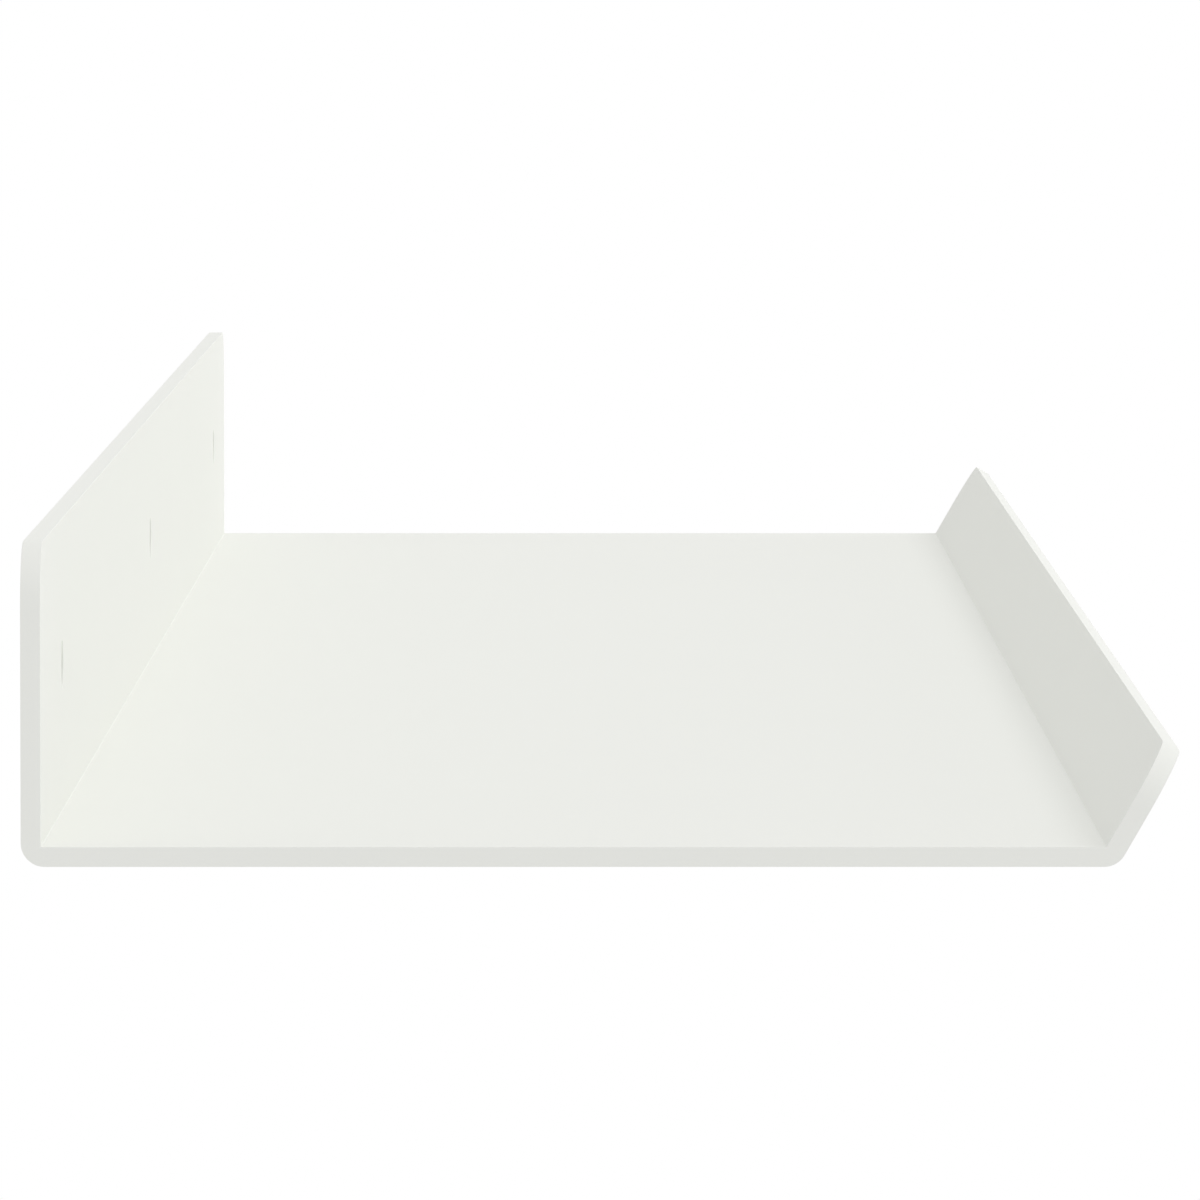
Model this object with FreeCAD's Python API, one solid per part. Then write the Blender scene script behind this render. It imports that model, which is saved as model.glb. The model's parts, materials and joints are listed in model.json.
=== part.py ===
# Floating wall shelf folded from one steel sheet, in millimetres.
#
# The sheet has a back flange that lies on the wall, a flat deck, and a front lip that leans outwards
# and stops things from sliding off. Three screw holes in the back flange carry it.
#
# Frame: +X along the wall, +Y into the wall, +Z up. The wall is the plane Y = 0, and the origin is
# the point on the wall behind the middle screw hole.
import FreeCAD, Part
import math
import os

Vector = FreeCAD.Vector

# Driving sizes
SHELF_LENGTH = 600.0  # along the wall
SHEET = 2.0  # thickness of the steel
BACK_HEIGHT = 32.4  # underside of the deck to the top of the back flange
DECK_DEPTH = 110.0  # wall to the outer corner of the front fold, before it is rounded
LIP_LENGTH = 13.0  # that corner to the lip's free edge, up the lip's outer face
LIP_RISE = 60.0  # degrees that the lip rises from the deck's plane
INSIDE_BEND = 0.2  # inside radius of both folds, which a sharp punch leaves
OUTSIDE_BEND = 2.4  # outside radius of both folds, where the sheet is a little thinner
CORNER_RADIUS = 7.0  # free corners of the back flange and of the lip
EDGE_BREAK = 0.1  # rounding of every cut edge, left by deburring and paint
HOLE_DIAMETER = 5.0
HOLE_COUNT = 3
HOLE_INSET = 50.0  # end of the shelf to the centre of the outer holes

# Sizes that follow from them
HALF_LENGTH = SHELF_LENGTH / 2
HOLE_RISE = (BACK_HEIGHT - SHEET) / 2  # holes lie midway up the flange's inner face
UNDERSIDE = -(SHEET + HOLE_RISE)
DECK_TOP = UNDERSIDE + SHEET
FLANGE_TOP = UNDERSIDE + BACK_HEIGHT


def section_point(depth, height):
    """A point of the cross-section at the shelf's left end, depth measured out from the wall."""
    return Vector(-HALF_LENGTH, -depth, height)


def rounded_wire(corners):
    """A closed wire through (point, radius) corners, with a tangent arc at each one that has a radius."""
    runs = []
    count = len(corners)
    for index, (point, radius) in enumerate(corners):
        back = (corners[index - 1][0] - point).normalize()
        ahead = (corners[(index + 1) % count][0] - point).normalize()
        half_angle = back.getAngle(ahead) / 2
        reach = radius / math.tan(half_angle)
        bisector = (back + ahead).normalize()
        middle = point + bisector * (radius / math.sin(half_angle) - radius)
        runs.append((point + back * reach, middle, point + ahead * reach))
    edges = []
    for index, (start, middle, end) in enumerate(runs):
        if corners[index][1] > 0:
            edges.append(Part.Arc(start, middle, end).toShape())
        edges.append(Part.LineSegment(end, runs[(index + 1) % count][0]).toShape())
    return Part.Wire(edges)


def lip_tip_points():
    """The lip's free edge in the cross-section: its outer point, then its inner point."""
    rise = math.radians(LIP_RISE)
    outer = section_point(DECK_DEPTH + LIP_LENGTH * math.cos(rise), UNDERSIDE + LIP_LENGTH * math.sin(rise))
    across = Vector(0, math.sin(rise), math.cos(rise)) * SHEET
    return outer, outer + across


def folded_sheet():
    """The sheet as it leaves the press brake: its folded cross-section, drawn out to full length."""
    lip_outer, lip_inner = lip_tip_points()
    inner_fold_depth = DECK_DEPTH - SHEET * math.tan(math.radians(LIP_RISE) / 2)
    section = [
        (section_point(0, FLANGE_TOP), 0),
        (section_point(0, UNDERSIDE), OUTSIDE_BEND),
        (section_point(DECK_DEPTH, UNDERSIDE), OUTSIDE_BEND),
        (lip_outer, 0),
        (lip_inner, 0),
        (section_point(inner_fold_depth, DECK_TOP), INSIDE_BEND),
        (section_point(SHEET, DECK_TOP), INSIDE_BEND),
        (section_point(SHEET, FLANGE_TOP), 0),
    ]
    return Part.Face(rounded_wire(section)).extrude(Vector(SHELF_LENGTH, 0, 0))


def edges_at(shape, centres):
    """The straight edges of a shape whose midpoints are the given points."""
    found = []
    for centre in centres:
        found.append(min(shape.Edges, key=lambda edge: (edge.CenterOfMass - centre).Length))
    return found


def round_free_corners(shape):
    """Round the two top corners of the back flange and the two outer corners of the lip."""
    lip_outer, lip_inner = lip_tip_points()
    flange_corner = section_point(SHEET / 2, FLANGE_TOP)
    lip_corner = (lip_outer + lip_inner) / 2
    along = Vector(SHELF_LENGTH, 0, 0)
    centres = [flange_corner, flange_corner + along, lip_corner, lip_corner + along]
    return shape.makeFillet(CORNER_RADIUS, edges_at(shape, centres))


def drill_screw_holes(shape):
    """Drill the row of screw holes through the back flange, evenly spaced between the outer two."""
    pitch = (SHELF_LENGTH - 2 * HOLE_INSET) / (HOLE_COUNT - 1)
    drills = []
    for index in range(HOLE_COUNT):
        start = Vector(-HALF_LENGTH + HOLE_INSET + index * pitch, -2 * SHEET, 0)
        drills.append(Part.makeCylinder(HOLE_DIAMETER / 2, 3 * SHEET, start, Vector(0, 1, 0)))
    return shape.cut(drills)


def face_normal(face, point):
    """The outward normal of a face at the point of it nearest to a given one."""
    u, v = face.Surface.parameter(point)
    return face.normalAt(u, v)


def is_cut_edge(shape, edge):
    """Whether an edge is a sharp one that the laser or the drill left, and not the seam of a bend."""
    faces = shape.ancestorsOfType(edge, Part.Face)
    if len(faces) != 2:
        return False
    point = edge.valueAt((edge.FirstParameter + edge.LastParameter) / 2)
    return abs(face_normal(faces[0], point) * face_normal(faces[1], point)) < 0.5


def break_edges(shape):
    """Round every cut edge slightly, as deburring and paint leave it."""
    sharp = [edge for edge in shape.Edges if is_cut_edge(shape, edge)]
    return shape.makeFillet(EDGE_BREAK, sharp)


def make_folded_shelf():
    """The whole shelf: folded, with rounded corners, drilled, and with its edges broken."""
    shelf = folded_sheet()
    shelf = round_free_corners(shelf)
    shelf = drill_screw_holes(shelf)
    return break_edges(shelf)


def main():
    os.makedirs("parts", exist_ok=True)
    shelf = make_folded_shelf()
    shelf.exportStep("parts/folded_shelf.step")
    print("folded_shelf: valid", shelf.isValid(), "solids", len(shelf.Solids), "faces", len(shelf.Faces))
    print("volume %.1f mm3, box %s" % (shelf.Volume, shelf.optimalBoundingBox(False)))


main()
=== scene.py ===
# Floating wall shelf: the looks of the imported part, in metres, in the part's own frame.
#
# +X runs along the wall, +Y goes into the wall and +Z is up. The shelf is one folded steel sheet,
# so its mesh is made as the sheet is made: a flat blank with rounded corners and screw holes,
# folded twice.
import json
import math
from collections import namedtuple

import bpy
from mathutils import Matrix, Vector
from mathutils.geometry import delaunay_2d_cdt


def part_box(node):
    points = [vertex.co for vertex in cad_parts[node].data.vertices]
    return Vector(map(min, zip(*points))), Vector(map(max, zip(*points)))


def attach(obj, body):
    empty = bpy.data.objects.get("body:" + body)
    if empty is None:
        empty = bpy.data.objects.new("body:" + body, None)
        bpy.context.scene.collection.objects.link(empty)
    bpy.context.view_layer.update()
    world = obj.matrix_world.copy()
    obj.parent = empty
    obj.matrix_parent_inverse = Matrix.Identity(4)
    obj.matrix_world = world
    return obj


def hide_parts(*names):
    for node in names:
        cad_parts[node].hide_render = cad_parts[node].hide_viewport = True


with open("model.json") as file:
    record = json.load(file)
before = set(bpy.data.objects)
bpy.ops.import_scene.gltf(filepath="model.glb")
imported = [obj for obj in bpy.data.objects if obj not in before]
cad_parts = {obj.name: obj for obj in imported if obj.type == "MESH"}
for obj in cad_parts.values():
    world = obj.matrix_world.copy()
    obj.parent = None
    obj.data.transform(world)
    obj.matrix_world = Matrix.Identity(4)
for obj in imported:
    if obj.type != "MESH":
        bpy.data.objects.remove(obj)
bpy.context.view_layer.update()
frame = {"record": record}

NODE = "folded_shelf"
PIECE = "powder_coated_sheet"
MM = 0.001

# ---------------------------------------------------------------------------------------------
# Sizes of the sheet. The box and the mounts of the frame give the rest. The inside bends and the
# broken edges are half as large as the solid's, because the photograph shows hardly any light
# along them.
# ---------------------------------------------------------------------------------------------
LIP_LENGTH = 13.0 * MM
LIP_RISE = math.radians(60)
INSIDE_BEND = 0.1 * MM
OUTSIDE_BEND = 2.4 * MM
CORNER_RADIUS = 7.0 * MM
EDGE_BREAK = 0.05 * MM

MOUNTS = {mount["name"]: mount for mount in frame["record"]["mounts"]}
WALL_SCREWS = MOUNTS["wall_screws"]
LOW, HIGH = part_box(NODE)
SHEET = MOUNTS["deck"]["pos_m"][2] - LOW.z
LENGTH = HIGH.x - LOW.x
BACK_HEIGHT = HIGH.z - LOW.z
# What the broken edge takes off the lip's tip
TIP_TRIM = EDGE_BREAK * (math.cos(LIP_RISE) + math.sin(LIP_RISE) - 1)
DECK_DEPTH = -LOW.y + TIP_TRIM - LIP_LENGTH * math.cos(LIP_RISE)  # from the wall to the lip
HOLE_RADIUS = WALL_SCREWS["dims"]["hole_r_mm"] * MM
HOLE_PITCH = WALL_SCREWS["dims"]["spacing_x_mm"] * MM / 2
HOLE_DROP = HIGH.z - WALL_SCREWS["pos_m"][2]  # from the flange's top edge down to the holes

# ---------------------------------------------------------------------------------------------
# Smoothness of the mesh
# ---------------------------------------------------------------------------------------------
CORNER_STEPS = 24  # along each free corner
HOLE_STEPS = 64  # round each screw hole
BEND_STEPS = 8  # along each part of a fold, whose inner side is straight, round and straight
EDGE_STEPS = 4  # across each rounded edge
SAME_PLACE = 1e-7  # points of the blank that are nearer than this are one
HULL_TRIANGLES = 0  # kind of triangulation: it fills the outline's convex hull, holes and all

# ---------------------------------------------------------------------------------------------
# Powder coat. A patch is the size of the spots in its tint, gloss, orange peel or grain, and a
# height is that of its bumps.
# ---------------------------------------------------------------------------------------------
DARKEST_TINT = (0.868, 0.876, 0.838, 1)
LIGHTEST_TINT = (0.876, 0.884, 0.844, 1)
TINT_PATCH = 60 * MM
TINT_DETAIL = 2
LEAST_ROUGHNESS = 0.66
MOST_ROUGHNESS = 0.74
GLOSS_PATCH = 3 * MM
GLOSS_DETAIL = 3
SPECULAR = 0.4
BUMP_DETAIL = 2
PEEL_PATCH = 1.6 * MM
PEEL_HEIGHT = 0.01 * MM
PEEL_STRENGTH = 0.10
GRAIN_PATCH = 0.30 * MM
GRAIN_HEIGHT = 0.004 * MM
GRAIN_STRENGTH = 0.12

# ---------------------------------------------------------------------------------------------
# Camera: it looks along the shelf from beyond its left end
# ---------------------------------------------------------------------------------------------
EYE_BEYOND_END = 1198.34 * MM
EYE_FROM_WALL = 57.36 * MM
EYE_ABOVE_UNDERSIDE = 96.45 * MM
EYE_PITCH = math.radians(3.3259)  # below the horizon
EYE_YAW = math.radians(0.0337)  # towards the shelf's front
FOCAL_PIXELS = 11990.6
PICTURE_PIXELS = 1200
SENSOR_MM = 36.0
NEAREST_SEEN = 0.05
FURTHEST_SEEN = 300.0

# ---------------------------------------------------------------------------------------------
# Light and floor
# ---------------------------------------------------------------------------------------------
WHITE = (1, 1, 1, 1)
WHITE_GLOW = 1.0  # the strength that shows as plain white
AMBIENT = 0.703  # the strength of the even light from all round
LAMP_DISTANCE = 3.5
LAMP_SIZE = 1.8
LAMPS = (  # name, degrees round from the shelf's front towards its left end, degrees up, watts
    ("front_top_light", 0, 55, 33.3),
    ("left_light", 90, 5, 7.6),
    ("front_right_light", -35, 8, 10.5),
)
FLOOR_PAINT = (0.95, 0.95, 0.95, 1)
FLOOR_DROP = 0.30  # floor below the shelf's underside
FLOOR_RADIUS = 60.0
FLOOR_SIDES = 96
FLOOR_NEAR = 0.8  # the floor shows the object's shadow within this distance of it
FLOOR_FAR = 2.0  # and is plain white beyond this one
FLOOR_NEAR_WHITE = 0.4  # share of plain white in it even there


# ---------------------------------------------------------------------------------------------
# The folded sheet, as a row of flat and bent stretches. Each has its start and its length across
# the blank, the place and the heading at which its outer side starts once folded, and the angle by
# which it turns, which is 0 where it is flat.
# ---------------------------------------------------------------------------------------------
Stretch = namedtuple("Stretch", "start length place heading turn")


def ahead(heading):
    """The direction at an angle above level, away from the wall."""
    return Vector((0, -math.cos(heading), math.sin(heading)))


def upright(heading):
    """The direction square to that one, towards the side of the sheet that things stand on."""
    return Vector((0, math.sin(heading), math.cos(heading)))


def inner_lead(turn):
    """How far a fold's inner side runs straight before its arc, and again after it.

    That arc is tighter than one that would keep the sheet's thickness, so it starts later.
    """
    return (OUTSIDE_BEND - SHEET - INSIDE_BEND) * math.tan(turn / 2)


def fold_side(place, heading, turn, radius, lead, share):
    """The point and the heading a given share of the way along one side of a fold.

    The side starts at place, runs straight for lead, turns with radius, and runs straight again.
    """
    arc = radius * turn
    gone = share * (arc + 2 * lead)
    new_heading = heading + min(max(gone - lead, 0), arc) / radius
    place = place + ahead(heading) * min(gone, lead)
    place = place + (upright(heading) - upright(new_heading)) * radius
    return place + ahead(new_heading) * max(gone - lead - arc, 0), new_heading


def fold_length(turn):
    """How much of the blank a fold takes: the mean of its inner and its outer side."""
    outer_side = OUTSIDE_BEND * turn
    inner_side = INSIDE_BEND * turn + 2 * inner_lead(turn)
    return (outer_side + inner_side) / 2


def fold_stretches():
    """The sheet's stretches from the flange's top edge to the lip's free edge."""
    lip_setback = OUTSIDE_BEND * math.tan(LIP_RISE / 2)
    back_run = BACK_HEIGHT - OUTSIDE_BEND
    deck_run = DECK_DEPTH - OUTSIDE_BEND - lip_setback
    lip_run = LIP_LENGTH - lip_setback
    path = ((back_run, 0), (0, math.pi / 2), (deck_run, 0), (0, LIP_RISE), (lip_run, 0))

    stretches = []
    start, place, heading = 0.0, Vector((0, 0, HIGH.z)), -math.pi / 2
    for run, turn in path:
        if turn:
            length = fold_length(turn)
            end, end_heading = fold_side(place, heading, turn, OUTSIDE_BEND, 0, 1)
        else:
            length = run
            end, end_heading = place + ahead(heading) * run, heading
        stretches.append(Stretch(start, length, place, heading, turn))
        start, place, heading = start + length, end, end_heading
    return stretches


STRETCHES = fold_stretches()
DEVELOPED = STRETCHES[-1].start + STRETCHES[-1].length


def folded(along, across, rise):
    """Where a point of the flat blank lies once folded, and the blank's two directions there.

    along is the X position, across runs from the flange's top edge to the lip's free edge, and
    rise is the height above the sheet's middle, towards the side that things stand on. The
    directions are the one in which across grows and the one in which rise does.
    """
    start, length, outer, heading, turn = [
        each for each in STRETCHES if across >= each.start - SAME_PLACE][-1]
    inner = outer + upright(heading) * SHEET
    if turn:
        share = (across - start) / length
        outer, outer_heading = fold_side(outer, heading, turn, OUTSIDE_BEND, 0, share)
        inner, inner_heading = fold_side(inner, heading, turn, INSIDE_BEND, inner_lead(turn), share)
        heading = outer_heading if rise < 0 else inner_heading
    else:
        run = ahead(heading) * (across - start)
        outer = outer + run
        inner = inner + run
    place = Vector((along, 0, 0)) + outer.lerp(inner, 0.5 + rise / SHEET)
    return place, ahead(heading), upright(heading)


def fold_rows():
    """Positions across the blank where the mesh needs a row of edges, so that folds are round."""
    rows = []
    for stretch in STRETCHES:
        if stretch.turn:
            lead = inner_lead(stretch.turn)
            parts = (lead, INSIDE_BEND * stretch.turn, lead)
            row = stretch.start
            for part in parts:
                width = stretch.length * part / sum(parts)
                rows += [row + width * step / BEND_STEPS for step in range(BEND_STEPS)]
                row += width
            rows.append(row)
    return rows


# ---------------------------------------------------------------------------------------------
# The sheet's mesh
# ---------------------------------------------------------------------------------------------
def blank_outline():
    """The blank's outline as (point, outward direction) pairs, anticlockwise in (along, across)."""
    end = LENGTH / 2
    corner_along = end - CORNER_RADIUS
    lip_corner_across = DEVELOPED - CORNER_RADIUS
    outline = []

    def add_corner(along, across, first_angle):
        for step in range(CORNER_STEPS + 1):
            angle = first_angle + math.pi / 2 * step / CORNER_STEPS
            outward = Vector((math.cos(angle), math.sin(angle)))
            outline.append((Vector((along, across)) + outward * CORNER_RADIUS, outward))

    add_corner(-corner_along, CORNER_RADIUS, math.pi)
    add_corner(corner_along, CORNER_RADIUS, 1.5 * math.pi)
    outline += [(Vector((end, row)), Vector((1, 0))) for row in fold_rows()]
    add_corner(corner_along, lip_corner_across, 0)
    add_corner(-corner_along, lip_corner_across, math.pi / 2)
    outline += [(Vector((-end, row)), Vector((-1, 0))) for row in reversed(fold_rows())]
    return outline


def hole_outlines():
    """Each screw hole's rim as (point, direction out of the steel) pairs, clockwise."""
    holes = []
    for place in (-HOLE_PITCH, 0, HOLE_PITCH):
        rim = []
        for step in range(HOLE_STEPS):
            angle = -2 * math.pi * step / HOLE_STEPS
            from_centre = Vector((math.cos(angle), math.sin(angle)))
            rim.append((Vector((place, HOLE_DROP)) + from_centre * HOLE_RADIUS, -from_centre))
        holes.append(rim)
    return holes


def edge_profile():
    """The rounded cut edge, from the sheet's top face down to its bottom face.

    Each step is (inset, rise, outward share, upward share). The shares make up its normal.
    """
    quarter = [math.pi / 2 * step / EDGE_STEPS for step in range(EDGE_STEPS + 1)]
    straight = SHEET / 2 - EDGE_BREAK
    profile = []
    for side, angles in ((1, reversed(quarter)), (-1, quarter)):
        for angle in angles:
            inset = EDGE_BREAK * (1 - math.cos(angle))
            rise = straight + EDGE_BREAK * math.sin(angle)
            profile.append((inset, side * rise, math.cos(angle), side * math.sin(angle)))
    return profile


def add_cut_edge(loop, points, normals, faces):
    """Add the rounded cut edge along one outline, and give its rims on the top and bottom faces."""
    rings = []
    for inset, rise, outward_share, upward_share in edge_profile():
        ring = []
        for point, outward in loop:
            flat = point - outward * inset
            place, forward, upward = folded(flat.x, flat.y, rise)
            sideways = Vector((outward.x, 0, 0)) + forward * outward.y
            ring.append(len(points))
            points.append(place)
            normals.append((sideways * outward_share + upward * upward_share).normalized())
        rings.append(ring)
    for upper, lower in zip(rings, rings[1:]):
        for i in range(len(loop)):
            j = (i + 1) % len(loop)
            faces.append((upper[i], upper[j], lower[j], lower[i]))
    return rings[0], rings[-1]


def blank_triangles(loops):
    """Triangles between the blank's outline and its holes, cut along every row of the folds."""
    rim_points, rim_owners, lines = [], [], []
    for owner, loop in enumerate(loops):
        first, count = len(rim_points), len(loop)
        rim_points += [point - outward * EDGE_BREAK for point, outward in loop]
        rim_owners += [owner] * count
        lines += [(first + i, first + (i + 1) % count) for i in range(count)]
    for row in fold_rows():
        ends = [i for i, point in enumerate(rim_points) if abs(point.y - row) < SAME_PLACE]
        lines.append(tuple(ends))
    result = delaunay_2d_cdt(rim_points, lines, [], HULL_TRIANGLES, SAME_PLACE)
    triangles, sources = result[2:4]
    kept = []
    for triangle in triangles:
        corners = [sources[i][0] for i in triangle]
        owners = {rim_owners[i] for i in corners}
        if len(owners) > 1 or owners == {0}:  # a triangle wholly on one hole's rim lies in the hole
            kept.append(corners)
    return kept


def build_sheet():
    """The folded sheet as one closed mesh whose normals follow its true surface."""
    points, normals, faces = [], [], []
    loops = [blank_outline()] + hole_outlines()
    top_rims, bottom_rims = [], []
    for loop in loops:
        top, bottom = add_cut_edge(loop, points, normals, faces)
        top_rims += top
        bottom_rims += bottom
    for corners in blank_triangles(loops):
        faces.append(tuple(top_rims[i] for i in reversed(corners)))
        faces.append(tuple(bottom_rims[i] for i in corners))

    mesh = bpy.data.meshes.new(PIECE)
    mesh.from_pydata(points, [], faces)
    mesh.polygons.foreach_set("use_smooth", [True] * len(mesh.polygons))
    mesh.normals_split_custom_set_from_vertices(normals)
    sheet = bpy.data.objects.new(PIECE, mesh)
    bpy.context.scene.collection.objects.link(sheet)
    return sheet


# ---------------------------------------------------------------------------------------------
# Materials
# ---------------------------------------------------------------------------------------------
def powder_coat():
    """Satin off-white powder coat with a faint orange peel, a finer grain and an uneven gloss."""
    material = bpy.data.materials.new("powder_coat")
    material.use_nodes = True
    nodes, links = material.node_tree.nodes, material.node_tree.links
    shader = nodes["Principled BSDF"]
    shader.inputs["Specular IOR Level"].default_value = SPECULAR
    place = nodes.new("ShaderNodeTexCoord")

    def noise(patch, detail):
        node = nodes.new("ShaderNodeTexNoise")
        node.inputs["Scale"].default_value = 1 / patch
        node.inputs["Detail"].default_value = detail
        links.new(place.outputs["Object"], node.inputs["Vector"])
        return node.outputs["Fac"]

    def bump(patch, height, strength, below=None):
        node = nodes.new("ShaderNodeBump")
        node.inputs["Strength"].default_value = strength
        node.inputs["Distance"].default_value = height
        links.new(noise(patch, BUMP_DETAIL), node.inputs["Height"])
        if below:
            links.new(below, node.inputs["Normal"])
        return node.outputs["Normal"]

    tint = nodes.new("ShaderNodeMix")
    tint.data_type = "RGBA"
    tint.inputs["A"].default_value = DARKEST_TINT
    tint.inputs["B"].default_value = LIGHTEST_TINT
    links.new(noise(TINT_PATCH, TINT_DETAIL), tint.inputs["Factor"])
    links.new(tint.outputs["Result"], shader.inputs["Base Color"])

    gloss = nodes.new("ShaderNodeMapRange")
    gloss.inputs["To Min"].default_value = LEAST_ROUGHNESS
    gloss.inputs["To Max"].default_value = MOST_ROUGHNESS
    links.new(noise(GLOSS_PATCH, GLOSS_DETAIL), gloss.inputs["Value"])
    links.new(gloss.outputs["Result"], shader.inputs["Roughness"])

    peel = bump(PEEL_PATCH, PEEL_HEIGHT, PEEL_STRENGTH)
    grain = bump(GRAIN_PATCH, GRAIN_HEIGHT, GRAIN_STRENGTH, peel)
    links.new(grain, shader.inputs["Normal"])
    return material


def seen_by_eye(nodes, links):
    """1 for rays from the camera, also by way of gloss or glass, and 0 for light on things."""
    path = nodes.new("ShaderNodeLightPath")
    total = path.outputs["Is Camera Ray"]
    for name in ("Is Glossy Ray", "Is Transmission Ray"):
        larger = nodes.new("ShaderNodeMath")
        larger.operation = "MAXIMUM"
        links.new(total, larger.inputs[0])
        links.new(path.outputs[name], larger.inputs[1])
        total = larger.outputs["Value"]
    return total


def floor_white():
    """Pale floor that shows the shelf's soft shadow near it and is plain white further off."""
    material = bpy.data.materials.new("studio_floor")
    material.use_nodes = True
    nodes, links = material.node_tree.nodes, material.node_tree.links
    nodes.clear()
    paint = nodes.new("ShaderNodeBsdfDiffuse")
    paint.inputs["Color"].default_value = FLOOR_PAINT
    white = nodes.new("ShaderNodeEmission")
    white.inputs["Color"].default_value = WHITE
    white.inputs["Strength"].default_value = WHITE_GLOW

    place = nodes.new("ShaderNodeTexCoord")
    distance = nodes.new("ShaderNodeVectorMath")
    distance.operation = "LENGTH"
    links.new(place.outputs["Object"], distance.inputs[0])
    fade = nodes.new("ShaderNodeMapRange")
    fade.interpolation_type = "SMOOTHSTEP"
    fade.inputs["From Min"].default_value = FLOOR_NEAR
    fade.inputs["From Max"].default_value = FLOOR_FAR
    fade.inputs["To Min"].default_value = FLOOR_NEAR_WHITE
    links.new(distance.outputs["Value"], fade.inputs["Value"])
    share = nodes.new("ShaderNodeMath")
    share.operation = "MULTIPLY"
    links.new(fade.outputs["Result"], share.inputs[0])
    links.new(seen_by_eye(nodes, links), share.inputs[1])

    mix = nodes.new("ShaderNodeMixShader")
    links.new(share.outputs["Value"], mix.inputs["Fac"])
    links.new(paint.outputs["BSDF"], mix.inputs[1])
    links.new(white.outputs["Emission"], mix.inputs[2])
    output = nodes.new("ShaderNodeOutputMaterial")
    links.new(mix.outputs["Shader"], output.inputs["Surface"])
    return material


# ---------------------------------------------------------------------------------------------
# Studio
# ---------------------------------------------------------------------------------------------
def make_floor():
    """A wide round floor under the shelf."""
    bpy.ops.mesh.primitive_circle_add(vertices=FLOOR_SIDES, radius=FLOOR_RADIUS, fill_type="NGON",
                                      location=(0, 0, LOW.z - FLOOR_DROP))
    floor = bpy.context.object
    floor.name = "studio_floor"
    floor.data.materials.append(floor_white())


def make_world():
    """Even light from all round, where the eye sees only plain white."""
    world = bpy.data.worlds.new("studio")
    bpy.context.scene.world = world
    world.use_nodes = True
    nodes, links = world.node_tree.nodes, world.node_tree.links
    light = nodes["Background"]
    light.inputs["Color"].default_value = WHITE
    light.inputs["Strength"].default_value = AMBIENT
    background = nodes.new("ShaderNodeBackground")
    background.inputs["Color"].default_value = WHITE
    background.inputs["Strength"].default_value = WHITE_GLOW
    mix = nodes.new("ShaderNodeMixShader")
    links.new(seen_by_eye(nodes, links), mix.inputs["Fac"])
    links.new(light.outputs["Background"], mix.inputs[1])
    links.new(background.outputs["Background"], mix.inputs[2])
    links.new(mix.outputs["Shader"], nodes["World Output"].inputs["Surface"])


def make_lamp(name, degrees_round, degrees_up, watts):
    """A round soft lamp that points at the middle of the flange and is not seen itself."""
    lamp = bpy.data.lights.new(name, "AREA")
    lamp.shape = "DISK"
    lamp.size = LAMP_SIZE
    lamp.energy = watts
    holder = bpy.data.objects.new(name, lamp)
    azimuth, elevation = math.radians(degrees_round), math.radians(degrees_up)
    towards = Vector((-math.cos(elevation) * math.sin(azimuth),
                      -math.cos(elevation) * math.cos(azimuth),
                      math.sin(elevation)))
    holder.location = towards * LAMP_DISTANCE
    holder.rotation_euler = towards.to_track_quat("Z", "Y").to_euler()
    bpy.context.scene.collection.objects.link(holder)
    holder.visible_camera = False
    holder.visible_glossy = False


def make_camera():
    """The scene's camera, as a long lens at the eye's place."""
    camera = bpy.data.cameras.new("camera")
    camera.sensor_width = SENSOR_MM
    camera.lens = FOCAL_PIXELS / PICTURE_PIXELS * SENSOR_MM
    camera.clip_start = NEAREST_SEEN
    camera.clip_end = FURTHEST_SEEN
    holder = bpy.data.objects.new("camera", camera)
    holder.location = (LOW.x - EYE_BEYOND_END, -EYE_FROM_WALL, LOW.z + EYE_ABOVE_UNDERSIDE)
    holder.rotation_euler = (math.pi / 2 - EYE_PITCH, 0, -math.pi / 2 - EYE_YAW)
    bpy.context.scene.collection.objects.link(holder)
    bpy.context.scene.camera = holder


# ---------------------------------------------------------------------------------------------
# The scene
# ---------------------------------------------------------------------------------------------
make_camera()
make_world()
make_floor()
for lamp_settings in LAMPS:
    make_lamp(*lamp_settings)

shelf = build_sheet()
shelf.data.materials.append(powder_coat())
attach(shelf, "root")
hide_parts(NODE)

bpy.context.scene.view_settings.view_transform = "Standard"
